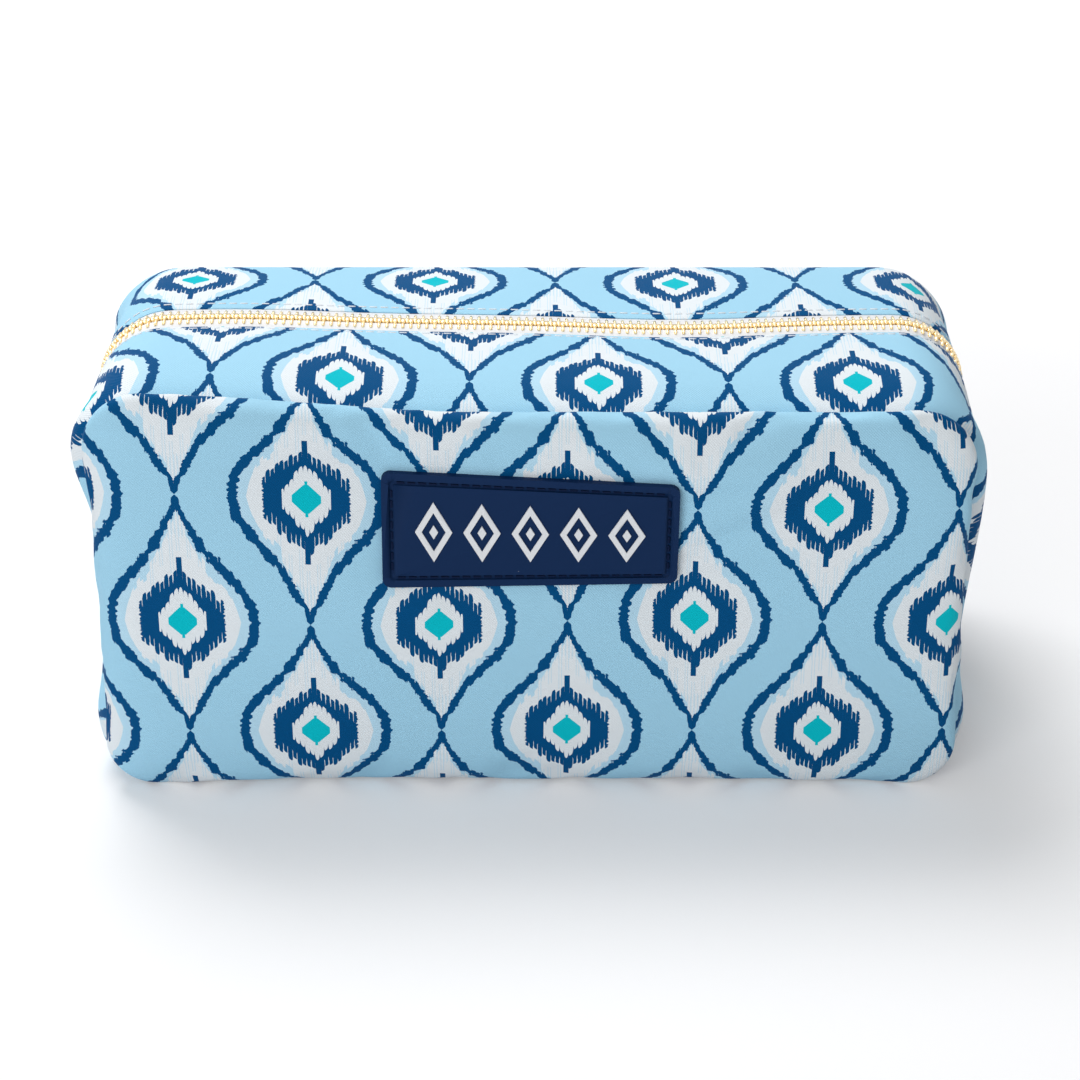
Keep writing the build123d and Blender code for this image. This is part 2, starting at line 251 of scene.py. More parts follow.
def over(tree, below, colour, where):
    """One colour laid over another where the mask is one."""
    node = add(tree, "Mix")
    node.data_type = "RGBA"
    join(where, node.inputs["Factor"])
    colours = [socket for socket in node.inputs if socket.type == "RGBA"]
    for socket, value in zip(colours, (below, colour)):
        if isinstance(value, tuple):
            socket.default_value = value
        else:
            join(value, socket)
    return [socket for socket in node.outputs if socket.type == "RGBA"][0]


def warp_strips(tree, across, up, width, seed):
    """Ikat threads: each strip of warp has its own random shift, and its end is rounded."""
    place = calc("DIVIDE", across, width)
    number = calc("ROUND", place)
    within = calc("ABSOLUTE", calc("SUBTRACT", place, number))
    upper = calc("GREATER_THAN", up, 0.0)
    shift = chance(tree, calc("MULTIPLY_ADD", upper, 53.0, number), seed)
    tip = calc("POWER", calc("MULTIPLY", within, 2.0), 4.0)
    return shift, tip, within


def ikat_colour(tree, u, v):
    """The printed ogee pattern. One unit of u or v is one repeat, and a motif is centred at 0."""
    part_u = calc("SUBTRACT", u, calc("ROUND", u))
    part_v = calc("SUBTRACT", v, calc("ROUND", v))
    both_parts = calc("ADD", calc("ABSOLUTE", part_u), calc("ABSOLUTE", part_v))
    dropped = calc("MULTIPLY", calc("GREATER_THAN", both_parts, 0.5), -0.5)
    near_u = calc("MULTIPLY_ADD", calc("SIGN", part_u), dropped, part_u)
    near_v = calc("MULTIPLY_ADD", calc("SIGN", part_v), dropped, part_v)
    x = calc("MULTIPLY", near_u, print_width)
    y = calc("MULTIPLY", near_v, print_height)
    side = calc("ABSOLUTE", x)
    high = calc("ABSOLUTE", y)

    shift, tip, within = warp_strips(tree, x, y, ikat_thread, 3.7)
    jag = calc("SUBTRACT", shift, 0.5)
    notch = calc("GREATER_THAN", within, 0.39)
    deep = calc("MULTIPLY", notch, calc("MULTIPLY", shift, 2.2))

    wobble = blur(tree, y, 0.50, 11.0)
    fine_wobble = blur(tree, y, 1.6, 31.0)
    calm = calc("DIVIDE", calc("SUBTRACT", 34.5, high), 8.0)
    calm = calc("MINIMUM", calc("MAXIMUM", calm, 0.1), 1.0)
    shaken = calc("MULTIPLY_ADD", calc("MULTIPLY", wobble, calm), 1.5, side)
    shaken = calc("MULTIPLY_ADD", calc("MULTIPLY", fine_wobble, calm), 0.6, shaken)
    row = calc("ROUND", calc("DIVIDE", y, 0.8))
    row = calc("MULTIPLY_ADD", calc("GREATER_THAN", x, 0.0), 53.0, row)
    nib = calc("SUBTRACT", chance(tree, row, 47.3), 0.5)
    shaken = calc("MULTIPLY_ADD", calc("MULTIPLY", nib, calm), 0.45, shaken)
    thin_shift, _, thin_within = warp_strips(tree, x, y, thin_thread, 71.3)
    stepped = calc("MULTIPLY_ADD", jag, 0.9, high)
    stepped = calc("MULTIPLY_ADD", calc("SUBTRACT", thin_shift, 0.5), 0.9, stepped)
    middle = curve_of(
        tree, stepped,
        [(0, 19.6), (4, 19.2), (8.3, 16.9), (11.1, 14.8), (13.5, 12.3), (16.8, 9.8), (19.2, 7.3),
         (21.6, 5.7), (24.9, 4.0), (28.2, 2.3), (30.6, 0.8), (33.9, 0.35), (36.0, 0.3)],
        motif_reach, 20.0,
    )
    thick = curve_of(
        tree, stepped,
        [(0, 2.6), (8, 3.1), (13, 3.5), (17, 3.2), (20, 2.8), (25, 2.2), (29, 2.0), (31, 1.6), (36, 1.0)],
        motif_reach, 5.0,
    )
    off_middle = calc("ABSOLUTE", calc("SUBTRACT", shaken, middle))
    outline = calc("LESS_THAN", off_middle, calc("MULTIPLY", thick, 0.5))

    growth = calc("MULTIPLY", calc("SUBTRACT", high, 5.0), 0.14)
    growth = calc("MINIMUM", calc("MAXIMUM", growth, 0.0), 1.0)
    fingers = calc("MULTIPLY_ADD", calc("SUBTRACT", thin_shift, 0.5), 3.6, 0.5)
    streaked = calc("MULTIPLY_ADD", fingers, growth, high)
    half_white = curve_of(
        tree, streaked,
        [(0, 16.0), (6, 14.2), (10.7, 11.5), (13, 9.0), (18, 6.0), (23, 3.6), (28, 1.4), (31, 0.2),
         (36, 0)],
        motif_reach, 20.0,
    )
    white = calc("LESS_THAN", side, half_white)
    thread_number = calc("ROUND", calc("DIVIDE", x, thin_thread))
    streak_start = calc("MULTIPLY_ADD", chance(tree, thread_number, 7.9), 13.0, 13.0)
    streak_start = calc("MULTIPLY_ADD", side, -0.4, streak_start)
    thread_gap = calc("GREATER_THAN", thin_within, 0.27)
    faded = calc("MULTIPLY", thread_gap, calc("GREATER_THAN", high, streak_start))
    faded = calc("MULTIPLY", faded, 0.55)

    ring_high = calc("MULTIPLY_ADD", jag, 2.0, high)
    ring_high = calc("MULTIPLY_ADD", tip, 0.9, ring_high)
    ring_high = calc("ADD", ring_high, deep)
    ring_edge = calc("MULTIPLY_ADD", side, -0.85, ring_top)
    ring = calc("LESS_THAN", ring_high, ring_edge)
    ring_side = calc("MULTIPLY_ADD", fine_wobble, 1.4, side)
    ring = calc("MULTIPLY", ring, calc("LESS_THAN", ring_side, ring_half))
    spike = calc("LESS_THAN", side, spike_half)
    spike = calc("MULTIPLY", spike, calc("LESS_THAN", high, spike_top))
    ring = calc("MAXIMUM", ring, spike)

    core_shift, core_tip, _ = warp_strips(tree, x, y, core_thread, 19.9)
    core_high = calc("MULTIPLY_ADD", core_shift, 1.3, high)
    core_high = calc("MULTIPLY_ADD", core_tip, 1.6, core_high)
    core_edge = calc("MULTIPLY_ADD", side, -1.05, core_top)
    core = calc("LESS_THAN", core_high, core_edge)
    core = calc("MULTIPLY", core, calc("LESS_THAN", side, core_half))

    eye_size = calc("ADD", calc("DIVIDE", side, 4.9), calc("DIVIDE", high, 4.5))
    eye = calc("LESS_THAN", eye_size, 1.0)
    eye = calc("MULTIPLY", eye, calc("LESS_THAN", side, eye_half))
    eye = calc("MULTIPLY", eye, calc("LESS_THAN", high, eye_half))
    eye_spike = calc("LESS_THAN", side, 0.4)
    eye_spike = calc("MULTIPLY", eye_spike, calc("LESS_THAN", high, 4.9))
    eye = calc("MAXIMUM", eye, eye_spike)

    colour = over(tree, sky_blue, pale_sky, calc("LESS_THAN", shaken, middle))
    colour = over(tree, colour, milk_white, white)
    streak = calc("MULTIPLY", faded, white)
    colour = over(tree, colour, pale_sky, streak)
    colour = over(tree, colour, ink_navy, ring)
    colour = over(tree, colour, milk_white, core)
    colour = over(tree, colour, bright_turquoise, eye)
    return over(tree, colour, ink_navy, outline)


def flat_layout(tree):
    """The cloth's flat layout, in repeats of the print, whole and in its two parts."""
    layout = add(tree, "UVMap")
    layout.uv_map = "print"
    split = add(tree, "SeparateXYZ")
    join(layout.outputs["UV"], split.inputs[0])
    return layout.outputs["UV"], split.outputs[0], split.outputs[1]


def noise(tree, place, scale, detail=2.0):
    """Cloudy noise at a place."""
    node = add(tree, "TexNoise", Scale=scale, Detail=detail)
    join(place, node.inputs["Vector"])
    return node.outputs[0]


def cloth_surface(tree, output, colour, tone, weave, strength, depth, roughness, gloss):
    """Cloth of a colour, lightened or darkened by a tone, with its weave as a bump."""
    cloth = add(tree, "BsdfPrincipled", Roughness=roughness, Specular_IOR_Level=gloss)
    bump = add(tree, "Bump", Strength=strength, Distance=depth)
    join(weave, bump.inputs["Height"])
    shade = add(tree, "VectorMath")
    shade.operation = "SCALE"
    if isinstance(colour, tuple):
        shade.inputs[0].default_value = colour[:3]
    else:
        join(colour, shade.inputs[0])
    join(tone, shade.inputs["Scale"])
    join(shade.outputs[0], cloth.inputs["Base Color"])
    join(bump.outputs[0], cloth.inputs["Normal"])
    join(cloth.outputs[0], output.inputs["Surface"])


def printed_cloth():
    """Printed microfibre twill: the ikat print and a fine diagonal weave."""
    material, tree, output = blank_material("printed_cloth")
    layout, u, v = flat_layout(tree)
    colour = ikat_colour(tree, u, v)
    along = calc("MULTIPLY", u, print_width)
    up = calc("MULTIPLY", v, print_height)
    slant = calc("MULTIPLY", calc("ADD", along, up), 2 * math.pi * math.sqrt(0.5) / twill_pitch)
    rib = calc("SINE", slant)
    across_ribs = calc("SUBTRACT", along, up)
    crossing = calc("SINE", calc("MULTIPLY", across_ribs, 2 * math.pi / crossing_pitch))
    weave = calc("MULTIPLY_ADD", crossing, 0.3, rib)
    grain = noise(tree, layout, scale=260.0, detail=3.0)
    tone = calc("MULTIPLY_ADD", calc("SUBTRACT", grain, 0.5), 0.10, 1.0)
    tone = calc("MULTIPLY_ADD", rib, 0.022, tone)
    cloth_surface(
        tree, output, colour, tone, weave, strength=0.6, depth=0.00005, roughness=0.55, gloss=0.04
    )
    return material


printed_cloth_material = printed_cloth()


def mesh_piece(name, corners, faces, material):
    """A piece in the scene from lists of its corners and faces."""
    mesh = bpy.data.meshes.new(name)
    mesh.from_pydata(corners, [], faces)
    mesh.materials.append(material)
    return show(name, mesh)


def make_cloth(name, places, flat, material, turned=False):
    """A sheet of quads through a grid of places in millimetres, with its flat layout as the print's UV."""
    columns, rows = len(places), len(places[0])
    corners = [place * 0.001 for column in places for place in column]
    faces = []
    for i in range(columns - 1):
        for j in range(rows - 1):
            a, b = i * rows + j, (i + 1) * rows + j
            faces.append((a, a + 1, b + 1, b) if turned else (a, b, b + 1, a + 1))
    piece = mesh_piece(name, corners, faces, material)
    layout = piece.data.uv_layers.new(name="print")
    spots = [spot for column in flat for spot in column]
    for loop in piece.data.loops:
        u, v = spots[loop.vertex_index]
        layout.data[loop.index].uv = (u / print_width, v / print_height)
    return piece


def pick_only(piece):
    """Selects one piece and nothing else."""
    bpy.ops.object.select_all(action="DESELECT")
    piece.select_set(True)
    bpy.context.view_layer.objects.active = piece


smooth_angle = math.radians(50)


def thicken(piece, thick):
    """One subdivision, the cloth's real thickness behind its outer face, then smooth shading."""
    smooth = piece.modifiers.new("smooth", "SUBSURF")
    smooth.levels = 1
    smooth.render_levels = 1
    smooth.boundary_smooth = "PRESERVE_CORNERS"
    wall = piece.modifiers.new("wall", "SOLIDIFY")
    wall.thickness = thick * 0.001
    wall.offset = -1
    wall.use_even_offset = False
    pick_only(piece)
    for modifier in list(piece.modifiers):
        bpy.ops.object.modifier_apply(modifier=modifier.name)
    bpy.ops.object.shade_smooth_by_angle(angle=smooth_angle)


def read_off(points, distance):
    """The point at a distance along a line of points, going straight on past its end."""
    left = distance
    for (x0, y0), (x1, y1) in zip(points, points[1:]):
        step = math.hypot(x1 - x0, y1 - y0)
        if left <= step:
            part = left / step
            return x0 + part * (x1 - x0), y0 + part * (y1 - y0)
        left -= step
    return points[-1][0] + left, points[-1][1]


def line_length(points):
    """Length of a line of points."""
    return sum(math.dist(a, b) for a, b in zip(points, points[1:]))


def edge_steps(length, first, grid):
    """Distances from an edge to the middle, close together at first and then even."""
    steps = list(first)
    count = max(1, round((length - steps[-1]) / grid))
    gap = (length - steps[-1]) / count
    return steps + [steps[-1] + gap * (i + 1) for i in range(count)]


roll_steps = [0, 1.2, 2.4, 3.5, 4.6, 5.8, 7.3, 9.3, 11.8, 14.6]


def panel_place(side, flat_x, flat_z, roll, extra):
    """Where a point of the flat cut panel lies on the padded, sewn one."""
    half_width = panel_width / 2 + extra
    bottom = -extra
    top = panel_height + extra
    from_side = half_width - abs(flat_x)
    upper = flat_z > panel_height / 2
    from_end = top - flat_z if upper else flat_z - bottom
    radius = panel_top_radius if upper else panel_bottom_radius
    reach = radius + extra
    hand = math.copysign(1, flat_x)
    rise = 1 if upper else -1
    centre_z = panel_height - radius if upper else radius
    if from_side < reach and from_end < reach:
        a, b = 1 - from_side / reach, 1 - from_end / reach
        x, z = a * math.sqrt(1 - b * b / 2), b * math.sqrt(1 - a * a / 2)
        ratio = math.hypot(x, z)
        inset, out = read_off(roll, (1 - ratio) * reach)
        scale = (radius - inset) / max(ratio, 1e-9)
        corner_x = panel_width / 2 - radius
        place = Vector((hand * (corner_x + scale * x), side * out, centre_z + rise * scale * z))
        return place, (hand * (corner_x + reach * x), centre_z + rise * reach * z)
    inset, out = read_off(roll, min(from_side, from_end))
    x, z = flat_x, flat_z
    if from_side < from_end:
        x = hand * (panel_width / 2 - inset)
    else:
        z = panel_height - inset if upper else inset
    return Vector((x, side * out, z)), (flat_x, flat_z)


def panel_sheet(name, side, roll, print_x, print_z, material, turned):
    """A cloth with a panel's outline. A motif's centre lies at print_x, print_z."""
    extra = line_length(roll) - roll[-1][0]
    half_width = panel_width / 2 + extra
    half_height = panel_height / 2 + extra
    steps_x = edge_steps(half_width, roll_steps, panel_grid)
    steps_z = edge_steps(half_height, roll_steps, panel_grid)
    lines_x = [s - half_width for s in steps_x] + [half_width - s for s in reversed(steps_x[:-1])]
    lines_z = [s - half_height for s in steps_z] + [half_height - s for s in reversed(steps_z[:-1])]
    middle = panel_height / 2
    found = [[panel_place(side, x, middle + z, roll, extra) for z in lines_z] for x in lines_x]
    places = [[place for place, spot in column] for column in found]
    flat = [[(spot[0] - print_x, spot[1] - print_z) for place, spot in column] for column in found]
    return make_cloth(name, places, flat, material, turned)


sim_frames = 20


def swell(piece, pressure, growth, cap, held):
    """Cloth simulation: the printed cloth is a little larger than its seams allow and the wadding
    pushes it out, no further than the cap. held tells, from a corner of the grid in millimetres, if a
    seam holds it there."""
    start = [corner.co.copy() for corner in piece.data.vertices]
    sewn = piece.vertex_groups.new(name="sewn")
    for index, corner in enumerate(start):
        if held(corner * 1000):
            sewn.add([index], 1.0, "REPLACE")
    sim = piece.modifiers.new("sim", "CLOTH")
    sim.settings.quality = 6
    sim.settings.mass = 0.15
    sim.settings.tension_stiffness = 12
    sim.settings.compression_stiffness = 8
    sim.settings.shear_stiffness = 3
    sim.settings.bending_stiffness = 0.15
    sim.settings.use_pressure = True
    sim.settings.uniform_pressure_force = pressure
    sim.settings.shrink_min = -growth
    sim.settings.effector_weights.gravity = 0
    sim.settings.vertex_group_mass = "sewn"
    sim.collision_settings.use_collision = False
    sim.collision_settings.use_self_collision = False
    sim.point_cache.frame_start = 1
    sim.point_cache.frame_end = sim_frames
    for step in range(1, sim_frames + 1):
        bpy.context.scene.frame_set(step)
    pick_only(piece)
    bpy.ops.object.modifier_apply(modifier="sim")
    bpy.context.scene.frame_set(1)
    for corner, before in zip(piece.data.vertices, start):
        moved = corner.co - before
        if moved.length > 1e-9:
            corner.co = before + moved * (cap * math.tanh(moved.length / cap) / moved.length)
        corner.co.z = max(corner.co.z, min(before.z, 0.0004))
    piece.vertex_groups.clear()


def ease(part):
    """Rises smoothly from 0 to 1 as its part does, and stays there outside."""
    part = min(max(part, 0), 1)
    return part * part * (3 - 2 * part)


label_middle = 84.0
label_half_width = 40.5
label_half_height = 16.5
# The lean in millimetres for each millimetre across and up, and where it fades out past the label
lean = 0.0044
fade_beside = 60
fade_below = 45
fade_above = 15
lean_depth = 0.0545


def front_lean(x, z):
    """How far the slack front panel leans back at a place, most at the label's corners."""
    off_middle = z - label_middle
    across = min(max(x, -label_half_width), label_half_width)
    up = min(max(off_middle, -label_half_height), label_half_height)
    fade_x = ease(1 - (abs(x) - label_half_width) / fade_beside)
    fade_height = fade_below if off_middle < 0 else fade_above
    fade_z = ease(1 - (abs(off_middle) - label_half_height) / fade_height)
    return -lean * across * up * fade_x * fade_z


seam_held_depth = 52.6
label_held_margin = 0.5


def panel_held(corner):
    """True at the seam all round a panel, and on the front one also under the label."""
    if abs(corner.y) < seam_held_depth:
        return True
    beside = abs(corner.x) < label_half_width + label_held_margin
    level = abs(corner.z - label_middle) < label_half_height + label_held_margin
    return corner.y < 0 and beside and level


top_pull = 5.0
pull_start = 15
pull_run = 85
pull_low = 45
pull_rise = 50


def left_lift(x):
    """How much higher the front panel's top edge has been pulled, more and more towards the left."""
    return top_pull * ease((-x - pull_start) / pull_run)


front_panel = panel_sheet("front_panel_cloth", -1, panel_roll, 10.0, 90.0, printed_cloth_material, False)
for corner in front_panel.data.vertices:
    up = ease((corner.co.z * 1000 - pull_low) / pull_rise)
    corner.co.z += 0.001 * left_lift(corner.co.x * 1000) * up
    if corner.co.y < -lean_depth:
        corner.co.y += 0.001 * front_lean(corner.co.x * 1000, corner.co.z * 1000)
swell(front_panel, pressure=2.5, growth=0.012, cap=0.0022, held=panel_held)
thicken(front_panel, cloth_thick)
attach(front_panel, "bag")
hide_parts("front_panel", "front_padding")


# Back panel
# The same cut of printed twill and wadding as the front, without a label. Its top edge has sunk a
# little, so from the front the zip strip hides it.

top_sag = 4.4
sag_from = 88
sag_run = 26


def sag_at_top(piece, depth):
    """The top of the back panel and what is sewn to it sinks behind the zip strip's edge."""
    for corner in piece.data.vertices:
        corner.co.z -= 0.001 * depth * ease((corner.co.z * 1000 - sag_from) / sag_run)


back_panel = panel_sheet("back_panel_cloth", 1, panel_roll, -18.0, 76.0, printed_cloth_material, True)
sag_at_top(back_panel, top_sag)
swell(back_panel, pressure=2.5, growth=0.012, cap=0.0022, held=panel_held)
thicken(back_panel, cloth_thick)
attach(back_panel, "bag")
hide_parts("back_panel", "back_padding")


# Base gusset
# One long strip of printed twill and wadding under the bag and up both of its ends, as far as the
# cross seams where the zip strips begin. It lies flat on the table and bulges at the ends.

gusset_depth = 100.0
half_depth = gusset_depth / 2
hinge_inset = 1.6
dome_angle = math.radians(6.0)
seam_half_width = 117.7
seam_top = 114.7
seam_top_radius = 14.7
seam_bottom_radius = 11.7
cross_seam_height = 40.0
# How far the cloth stands out from the seam line, by its distance from the bag's middle
end_bulge = [
    (51.4, 0.3), (50.6, 0.9), (49.4, 1.6), (47.5, 2.4), (44.0, 3.4), (38.0, 4.6), (30.0, 5.6),
    (20.0, 6.4), (10.0, 6.8), (0.0, 6.9),
]
bottom_bulge = [
    (51.4, 0.3), (50.6, 0.7), (49.4, 1.1), (47.5, 1.4), (44.0, 1.6), (0.0, 1.6),
]
gusset_steps = [51.4, 50.7, 50.0, 49.0, 47.5, 45.5, 43.0, 40.0, 37.0, 34.0, 30.5, 27.0, 23.5, 20.0,
                16.5, 13.0, 9.5, 6.2, 3.1, 0.0]
# The ends bag out beside the panels' seams, low down and, at the right, again higher up. Middle and
# width of each hump: up the end, and away from the bag's middle
end_slack = 3.6
low_hump = (4, 11)
high_hump = (28, 12)
high_share = 0.5
hump_beside_seam = (42, 8.5)
base_radius = seam_bottom_radius - hinge_inset
base_flat_half = seam_half_width - seam_bottom_radius
mean_bulge = 3.0
base_arc = (base_radius + mean_bulge) * math.pi / 2
# At a cross seam the cloth dips, over this run from it and this deep
tuck_run = 2.5
seam_tuck = 1.2
cross_seam_steps = [0, 0.8, 1.6, 2.6, 4.5]
strip_grid = 3.0


def read_at(points, place):
    """Straight interpolation in a list of points that runs up or down in its first number."""
    down = points[0][0] > points[-1][0]
    for (x0, y0), (x1, y1) in zip(points, points[1:]):
        if (place >= x1) if down else (place <= x1):
            return y0 + (place - x0) / (x1 - x0) * (y1 - y0)
    return points[-1][1]


def hump(place, middle, width):
    """A smooth hump of height 1."""
    return math.exp(-((place - middle) / width) ** 2)


def base_place(run, y, ends=end_bulge, bottom=bottom_bulge, tuck_depth=seam_tuck):
    """A point of the base strip, by its run along the strip from the middle of the bottom."""
    hand = math.copysign(1, run)
    past = abs(run) - base_flat_half
    bend = min(max(past / base_arc, 0), 1) * math.pi / 2
    climb = max(past - base_arc, 0)
    share = ease(bend / (math.pi / 2))
    bulge = (1 - share) * read_at(bottom, abs(y)) + share * read_at(ends, abs(y))
    near_seam = max(0.0, 1 - (cross_seam_height - seam_bottom_radius - climb) / tuck_run)
    bulge -= tuck_depth * near_seam * near_seam
    slack = hump(climb, *low_hump) + (run > 0) * high_share * hump(climb, *high_hump)
    slack *= hump(abs(y), *hump_beside_seam)
    bulge += end_slack * slack * share * (tuck_depth > 0)
    x = hand * (min(abs(run), base_flat_half) + (base_radius + bulge) * math.sin(bend))
    z = seam_bottom_radius - (base_radius + bulge) * math.cos(bend) + climb
    return Vector((x, y, z))


base_half_run = base_flat_half + base_arc + cross_seam_height - seam_bottom_radius
base_runs = edge_steps(base_half_run, cross_seam_steps, strip_grid)
base_lines = [r - base_half_run for r in base_runs] + [base_half_run - r for r in reversed(base_runs[:-1])]
base_across = [-s for s in gusset_steps] + list(reversed(gusset_steps[:-1]))
base_gusset = make_cloth(
    "base_gusset_cloth",
    [[base_place(run, y) for y in base_across] for run in base_lines],
    [[(run - 12.0, y) for y in base_across] for run in base_lines],
    printed_cloth_material,
    turned=True,
)


held_from_middle = 49.5
held_below_seam = 3
held_over_table = 0.6


def base_held(corner):
    """True at the base strip's seams, and where it lies on the table."""
    at_cross_seam = corner.z > cross_seam_height - held_below_seam
    return abs(corner.y) > held_from_middle or at_cross_seam or corner.z < held_over_table


swell(base_gusset, pressure=1.5, growth=0.008, cap=0.0016, held=base_held)
thicken(base_gusset, cloth_thick)
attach(base_gusset, "bag")
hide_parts("base_gusset", "base_padding")


# Zip strips
# Two long strips of printed twill and wadding, one on each side of the zip. They run over the top
# and down both ends to the cross seams, sewn to a panel on one side and folded back at the zip.

hinge_height = seam_top - hinge_inset / math.cos(dome_angle)
corner_x = seam_half_width - seam_top_radius
corner_height = seam_top - seam_top_radius
hinge_radius = hinge_height - corner_height
chain_radius = hinge_radius + half_depth * math.tan(dome_angle) + 0.5
strip_arc = chain_radius * math.pi / 2
strip_end = corner_x + strip_arc + corner_height - cross_seam_height
fold_half = 6.2
fold_run = (half_depth - fold_half) / math.cos(dome_angle)
# Height of the padded cloth over the hinge line, by its distance from it towards the zip
front_strip_rise = [
    (-1.5, 1.0), (-0.9, 0.5), (-0.2, -0.3), (0.7, -0.6), (2.0, -0.2), (4.0, 0.9), (7.0, 2.2),
    (12.0, 3.4), (20.0, 3.9), (28.0, 3.3), (34.0, 2.9), (39.0, 2.3), (42.0, 1.9), (43.5, 1.7),
    (44.04, 1.3),
]
back_strip_rise = [
    (-1.6, -2.6), (-0.9, -0.5), (0.0, 1.2), (1.2, 2.5), (3.0, 3.3), (7.0, 3.7), (12.0, 3.8), (20.0, 3.7),
    (28.0, 3.4), (34.0, 2.9), (38.0, 2.3), (41.0, 1.9), (42.4, 1.6), (43.0, 1.1),
]
strip_steps = [-1.9, -1.2, -0.4, 0.6, 2.0, 4.0, 6.5, 9.5, 12.5, 16.0, 19.5, 23.0, 26.5, 30.0, 33.5,
               36.5, 39.5, 41.8, 43.3, 44.04]
back_fold_shift = 1.0
fold_band = 36
# The zip wanders: it was pulled a little to the back at the left and to the front at the right
left_wander = 4.0
left_spot = (-85, 38)
right_wander = 3.6
right_spot = (40, 34)


def strip_place(side, station, run, height):
    """A point on one half of the zip gusset: its station along the zip, its run from the seam
    towards the zip and its height over the tilted plane."""
    hand = math.copysign(1, station)
    past = abs(station) - corner_x
    bend = min(max(past / chain_radius, 0), math.pi / 2)
    drop = max(past - strip_arc, 0)
    outward = Vector((hand * math.sin(bend), 0, math.cos(bend)))
    inward = Vector((0, -side, 0))
    centre = Vector((hand * min(abs(station), corner_x), side * half_depth, corner_height - drop))
    toward_zip = inward * math.cos(dome_angle) + outward * math.sin(dome_angle)
    upward = outward * math.cos(dome_angle) - inward * math.sin(dome_angle)
    wander = left_wander * hump(station, *left_spot) - right_wander * hump(station, *right_spot)
    drift = Vector((0, wander * ease(run / fold_run), 0))
    return centre + outward * hinge_radius + toward_zip * run + upward * height + drift


# How far the padded strips bag out at the ends, and by side and hand how strongly, where past the
# top corner's start, and how widely above and below there. Then the hump along the run
top_slack = 5.2
end_bagging = {
    (-1, 1): (1.1, 1.95, 0.85, 2.2),
    (1, 1): (1.0, 2.1, 0.9, 2.2),
    (-1, -1): (1.15, 1.6, 0.85, 0.85),
    (1, -1): (0.85, 1.75, 0.8, 0.8),
}
run_hump = (7.0, 7.0)
seam_edge = 1.5
off_seam_run = 5


def corner_slack(side, station, run):
    """How much the padded strip bags out at the ends, near the panel's seam and the top corners."""
    past = (abs(station) - corner_x) / chain_radius
    strength, centre, above, below = end_bagging[side, 1 if station > 0 else -1]
    along_end = strength * hump(past, centre, above if past < centre else below)
    off_seam = min(1, max(0, run + seam_edge) / off_seam_run)
    return top_slack * along_end * hump(run, *run_hump) * off_seam


# The share of the front panel's pull that reaches the front strip, by distance from the hinge line
pull_share = [
    (-1.5, 1.0), (-0.2, 0.8), (1.5, 0.5), (20.0, 0.5), (34.0, 0.25), (41.0, 0.0), (44.04, 0.0),
]


def follow_flap(piece):
    """Bakes the piece's placement into its corners; it is not attached to the bag or to a flap."""
    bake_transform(piece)


strip_stations = [strip_end - s for s in edge_steps(strip_end, cross_seam_steps, strip_grid)]
hands = ((-1, "left"), (1, "right"))


def half_stations(hand):
    """Stations of one half of the zip, from left to right."""
    stations = [hand * s for s in strip_stations]
    return stations if hand < 0 else stations[::-1]


for side, side_name, rise_points, print_at in (
    (-1, "front", front_strip_rise, (18.5, 13.4)),
    (1, "back", back_strip_rise, (-28.0, 20.0)),
):
    steps = [run - back_fold_shift * (side > 0) * (run > fold_band) for run in strip_steps]
    for hand, hand_name in hands:
        stations = half_stations(hand)
        places = []
        for station in stations:
            tuck = max(0.0, 1 - (strip_end - abs(station)) / tuck_run)
            bend = min(max((abs(station) - corner_x) / chain_radius, 0), math.pi / 2)
            pull = (side < 0) * left_lift(station) * math.cos(bend)
            column = []
            for run in steps:
                rise = read_at(rise_points, run) - seam_tuck * tuck * tuck
                rise += pull * read_at(pull_share, run)
                rise += corner_slack(side, station, run)
                column.append(strip_place(side, station, run, rise))
            places.append(column)
        strip = make_cloth(
            f"{side_name}_zip_strip_{hand_name}",
            places,
            [[(station - print_at[0], run - print_at[1]) for run in steps] for station in stations],
            printed_cloth_material,
            turned=side > 0,
        )
        thicken(strip, cloth_thick)
        follow_flap(strip)
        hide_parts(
            f"{side_name}_zip_strip", f"{side_name}_strip_padding",
            f"{hand_name}_{side_name}_end_strip", f"{hand_name}_end_padding",
        )


# Lining
# Plain white woven cloth behind the wadding, sewn in with the same seams as the printed cloth. It
# is seen only through the open mouth.

lining_thick = 0.5
lining_white = (0.80, 0.83, 0.86, 1)


def woven_material(name, colour, pitch, roughness, depth):
    """A plain weave of threads at a real pitch in millimetres, from the cloth's own flat layout."""
    material, tree, output = blank_material(name)
    layout, u, v = flat_layout(tree)
    turn_x = calc("MULTIPLY", u, 2 * math.pi * print_width / pitch)
    turn_y = calc("MULTIPLY", v, 2 * math.pi * print_height / pitch)
    weave = calc("MULTIPLY", calc("SINE", turn_x), calc("SINE", turn_y))
    cloud = noise(tree, layout, scale=9.0)
    tone = calc("MULTIPLY_ADD", calc("SUBTRACT", cloud, 0.5), 0.08, 1.0)
    tone = calc("MULTIPLY_ADD", weave, 0.05, tone)
    cloth_surface(tree, output, colour, tone, weave, 0.7, depth, roughness, gloss=0.25)
    return material


lining_material = woven_material("white_lining", lining_white, 0.8, 0.75, 0.00003)
lining_roll = [(3.6, 52.3), (5.0, 52.1), (8.0, 51.8), (20.0, 51.3), (36.0, 51.0)]
sides = ((-1, "front"), (1, "back"))
for side, side_name in sides:
    lining = panel_sheet(f"{side_name}_lining_cloth", side, lining_roll, 0, 0, lining_material, side < 0)
    if side > 0:
        sag_at_top(lining, top_sag)
    thicken(lining, lining_thick)
    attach(lining, "bag")
    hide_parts(f"{side_name}_lining")

